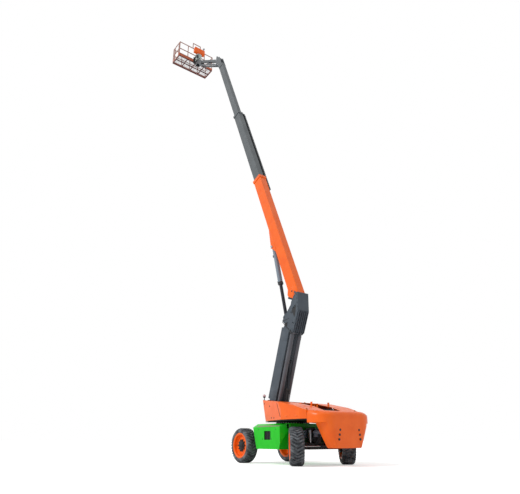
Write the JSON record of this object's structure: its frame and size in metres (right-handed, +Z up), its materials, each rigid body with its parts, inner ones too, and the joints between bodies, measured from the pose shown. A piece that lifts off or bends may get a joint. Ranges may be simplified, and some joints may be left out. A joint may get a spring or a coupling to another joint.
{
  "type": "articulating boom lift",
  "caption": "Self-propelled articulating boom lift: steered wheels, turntable, tower boom, knuckle, telescopic upper boom, jib and railed work platform.",
  "frame": {"origin": "on the ground under the swing axis of the turntable", "axes": "+X towards the platform and the fixed wheels, +Y to the left of that, +Z up; the booms are raised as in use"},
  "size_m": [12.5068, 2.9348, 25.0521],
  "materials": {
    "base_boom": "gloss paint",
    "beacon": "clear moulding",
    "cable_carrier": "moulded",
    "chassis_frame": "gloss paint",
    "control_console": "gloss paint",
    "counterweight": "gloss paint",
    "fly_boom": "satin paint",
    "front_axle": "satin paint",
    "front_left_rim": "gloss paint",
    "front_left_tyre": "moulded rubber",
    "front_right_rim": "gloss paint",
    "front_right_tyre": "moulded rubber",
    "gate": "satin paint",
    "hood_left": "gloss paint",
    "hood_right": "gloss paint",
    "hydraulic_tank": "satin paint",
    "jib_arm": "satin paint",
    "jib_cylinder_barrel": "satin paint",
    "jib_cylinder_rod": "polished",
    "jib_end": "satin paint",
    "jib_level_bars": "satin paint",
    "jib_pivot": "satin paint",
    "knuckle": "satin paint",
    "knuckle_cover": "satin paint",
    "level_rods": "satin paint",
    "lift_cylinder_barrel": "satin paint",
    "lift_cylinder_rod": "polished",
    "mid_boom": "satin paint",
    "nose_cover_left": "gloss paint",
    "nose_cover_right": "gloss paint",
    "platform_floor": "mesh",
    "platform_fork": "satin paint",
    "platform_frame": "gloss paint",
    "power_pack": "satin paint",
    "rear_axle": "satin paint",
    "rear_left_rim": "gloss paint",
    "rear_left_tyre": "moulded rubber",
    "rear_right_rim": "gloss paint",
    "rear_right_tyre": "moulded rubber",
    "rotator": "satin paint",
    "steer_cylinder": "satin paint",
    "steer_knuckle_left": "satin paint",
    "steer_knuckle_right": "satin paint",
    "steer_rod": "polished",
    "swing_bearing": "satin paint",
    "tower_boom": "satin paint",
    "tower_cylinder_barrel": "satin paint",
    "tower_cylinder_rod": "polished",
    "turntable_frame": "satin paint"
  },
  "bodies": {
    "chassis": {"chassis_frame": "chassis_frame", "swing_bearing": "swing_bearing", "front_axle": "front_axle", "rear_axle": "rear_axle", "steer_cylinder": "steer_cylinder"},
    "front_left_wheel": {"front_left_tyre": "front_left_tyre", "front_left_rim": "front_left_rim"},
    "front_right_wheel": {"front_right_tyre": "front_right_tyre", "front_right_rim": "front_right_rim"},
    "steer_left": {"steer_knuckle_left": "steer_knuckle_left"},
    "steer_right": {"steer_knuckle_right": "steer_knuckle_right"},
    "rear_left_wheel": {"rear_left_tyre": "rear_left_tyre", "rear_left_rim": "rear_left_rim"},
    "rear_right_wheel": {"rear_right_tyre": "rear_right_tyre", "rear_right_rim": "rear_right_rim"},
    "steer_link": {"steer_rod": "steer_rod"},
    "turntable": {"turntable_frame": "turntable_frame", "nose_cover_left": "nose_cover_left", "nose_cover_right": "nose_cover_right", "power_pack": "power_pack", "hydraulic_tank": "hydraulic_tank", "counterweight": "counterweight", "beacon": "beacon"},
    "left_hood": {"hood_left": "hood_left"},
    "right_hood": {"hood_right": "hood_right"},
    "tower": {"tower_boom": "tower_boom"},
    "levelling": {"level_rods": "level_rods"},
    "tower_barrel": {"tower_cylinder_barrel": "tower_cylinder_barrel"},
    "tower_rod": {"tower_cylinder_rod": "tower_cylinder_rod"},
    "upright": {"knuckle": "knuckle", "knuckle_cover": "knuckle_cover"},
    "base": {"base_boom": "base_boom"},
    "lift_barrel": {"lift_cylinder_barrel": "lift_cylinder_barrel"},
    "lift_rod": {"lift_cylinder_rod": "lift_cylinder_rod"},
    "mid": {"mid_boom": "mid_boom", "cable_carrier": "cable_carrier"},
    "fly": {"fly_boom": "fly_boom"},
    "pivot": {"jib_pivot": "jib_pivot"},
    "jib": {"jib_arm": "jib_arm"},
    "jib_bars": {"jib_level_bars": "jib_level_bars"},
    "jib_barrel": {"jib_cylinder_barrel": "jib_cylinder_barrel"},
    "jib_rod": {"jib_cylinder_rod": "jib_cylinder_rod"},
    "jib_head": {"jib_end": "jib_end", "rotator": "rotator"},
    "platform": {"platform_fork": "platform_fork", "platform_floor": "platform_floor", "platform_frame": "platform_frame", "control_console": "control_console"},
    "gate": {"gate": "gate"}
  },
  "joints": [
    {"name": "front_left_spin", "type": "hinge", "parent": "chassis", "child": "front_left_wheel", "pos_m": [1.42, 1.025, 0.56], "axis": [0, 1, 0], "continuous": true},
    {"name": "front_right_spin", "type": "hinge", "parent": "chassis", "child": "front_right_wheel", "pos_m": [1.42, -1.025, 0.56], "axis": [0, 1, 0], "continuous": true},
    {"name": "steer_left", "type": "hinge", "parent": "chassis", "child": "steer_left", "pos_m": [-1.42, 0.865, 0.56], "axis": [0, 0, 1], "range_deg": [-2, 74]},
    {"name": "steer_right", "type": "hinge", "parent": "chassis", "child": "steer_right", "pos_m": [-1.42, -0.865, 0.56], "axis": [0, 0, 1], "range_deg": [-2, 74]},
    {"name": "rear_left_spin", "type": "hinge", "parent": "steer_left", "child": "rear_left_wheel", "pos_m": [-1.32595, 0.99444, 0.56], "axis": [0.5878, 0.809, 0], "continuous": true},
    {"name": "rear_right_spin", "type": "hinge", "parent": "steer_right", "child": "rear_right_wheel", "pos_m": [-1.51405, -0.99444, 0.56], "axis": [0.5878, 0.809, 0], "continuous": true},
    {"name": "steer_rod_slide", "type": "slide", "parent": "chassis", "child": "steer_link", "axis": [0, 1, 0], "range_m": [-0.24119, 0.007]},
    {"name": "swing", "type": "hinge", "parent": "chassis", "child": "turntable", "pos_m": [0, 0, 1.31], "axis": [0, 0, 1], "continuous": true},
    {"name": "left_hood_hinge", "type": "hinge", "parent": "turntable", "child": "left_hood", "pos_m": [-1.35, 0.37, 1.87], "axis": [1, 0, 0], "range_deg": [0, 60]},
    {"name": "right_hood_hinge", "type": "hinge", "parent": "turntable", "child": "right_hood", "pos_m": [-1.35, -0.37, 1.87], "axis": [-1, 0, 0], "range_deg": [0, 60]},
    {"name": "tower_lift", "type": "hinge", "parent": "turntable", "child": "tower", "pos_m": [0.894, 0, 1.95], "axis": [0, 1, 0], "range_deg": [-65.7, 2.5]},
    {"name": "level_rod_pivot", "type": "hinge", "parent": "turntable", "child": "levelling", "pos_m": [0.624, 0, 1.63], "axis": [0, 1, 0], "range_deg": [-65.7, 2.5]},
    {"name": "upright_pivot", "type": "hinge", "parent": "tower", "child": "upright", "pos_m": [-0.05127, 0, 4.64927], "axis": [0, 1, 0], "range_deg": [-2.5, 65.7]},
    {"name": "tower_barrel_pivot", "type": "hinge", "parent": "turntable", "child": "tower_barrel", "pos_m": [0.35, 0, 1.46], "axis": [0, 1, 0], "range_deg": [-64.48, 2.46]},
    {"name": "tower_rod_slide", "type": "slide", "parent": "tower_barrel", "child": "tower_rod", "axis": [-0.1291, 0, 0.9916], "range_m": [-0.79416, 0.0307]},
    {"name": "boom_lift", "type": "hinge", "parent": "upright", "child": "base", "pos_m": [-0.49127, 0, 5.79927], "axis": [0, -1, 0], "range_deg": [-72.2, 6.8]},
    {"name": "lift_barrel_pivot", "type": "hinge", "parent": "base", "child": "lift_barrel", "pos_m": [0.89897, 0, 8.03916], "axis": [0, -1, 0], "range_deg": [-0.0818, 0.0168]},
    {"name": "lift_rod_slide", "type": "slide", "parent": "lift_barrel", "child": "lift_rod", "axis": [-0.218, 0, -0.9759], "range_m": [-1.26535, 0.11963]},
    {"name": "boom_extend", "type": "slide", "parent": "base", "child": "mid", "axis": [0.3714, 0, 0.9285], "range_m": [-4.7, 0.1]},
    {"name": "fly_extend", "type": "slide", "parent": "mid", "child": "fly", "axis": [0.3714, 0, 0.9285], "range_m": [-4.7, 0.1]},
    {"name": "head_level", "type": "hinge", "parent": "fly", "child": "pivot", "pos_m": [5.83127, 0, 21.47211], "axis": [0, -1, 0], "range_deg": [-6.8, 72.2]},
    {"name": "jib_lift", "type": "hinge", "parent": "pivot", "child": "jib", "pos_m": [6.09827, 0, 21.57911], "axis": [0, -1, 0], "range_deg": [-95.4, 34.6]},
    {"name": "jib_bars_pivot", "type": "hinge", "parent": "pivot", "child": "jib_bars", "pos_m": [6.05827, 0, 21.22911], "axis": [0, -1, 0], "range_deg": [-95.4, 34.6]},
    {"name": "jib_barrel_pivot", "type": "hinge", "parent": "pivot", "child": "jib_barrel", "pos_m": [6.05827, 0, 21.22911], "axis": [0, -1, 0], "range_deg": [-88.25, 32.02]},
    {"name": "jib_rod_slide", "type": "slide", "parent": "jib_barrel", "child": "jib_rod", "axis": [0.7593, 0, 0.6507], "range_m": [-0.47504, 0.17261]},
    {"name": "jib_head_level", "type": "hinge", "parent": "jib", "child": "jib_head", "pos_m": [8.09778, 0, 23.00009], "axis": [0, -1, 0], "range_deg": [-34.6, 95.4]},
    {"name": "platform_rotate", "type": "hinge", "parent": "jib_head", "child": "platform", "pos_m": [8.59778, 0, 23.50009], "axis": [0, 0, 1], "range_deg": [-85, 85]},
    {"name": "gate_hinge", "type": "hinge", "parent": "platform", "child": "gate", "pos_m": [9.64678, 1.168, 24.04509], "axis": [0, 0, 1], "range_deg": [0, 90]}
  ],
  "couplings": [
    {"joint": "steer_right", "follows": "steer_left", "ratio": 1},
    {"joint": "steer_rod_slide", "follows": "steer_left", "m_per_rad": -0.18636},
    {"joint": "level_rod_pivot", "follows": "tower_lift", "ratio": 1},
    {"joint": "upright_pivot", "follows": "tower_lift", "ratio": -1},
    {"joint": "tower_barrel_pivot", "follows": "tower_lift", "ratio": 0.98126},
    {"joint": "tower_rod_slide", "follows": "tower_lift", "m_per_rad": 0.69214},
    {"joint": "lift_barrel_pivot", "follows": "boom_lift", "ratio": 0.000994},
    {"joint": "lift_rod_slide", "follows": "boom_lift", "m_per_rad": 1.0037},
    {"joint": "fly_extend", "follows": "boom_extend", "ratio": 1},
    {"joint": "head_level", "follows": "boom_lift", "ratio": -1},
    {"joint": "jib_bars_pivot", "follows": "jib_lift", "ratio": 1},
    {"joint": "jib_barrel_pivot", "follows": "jib_lift", "ratio": 0.925},
    {"joint": "jib_rod_slide", "follows": "jib_lift", "m_per_rad": 0.285},
    {"joint": "jib_head_level", "follows": "jib_lift", "ratio": -1}
  ]
}
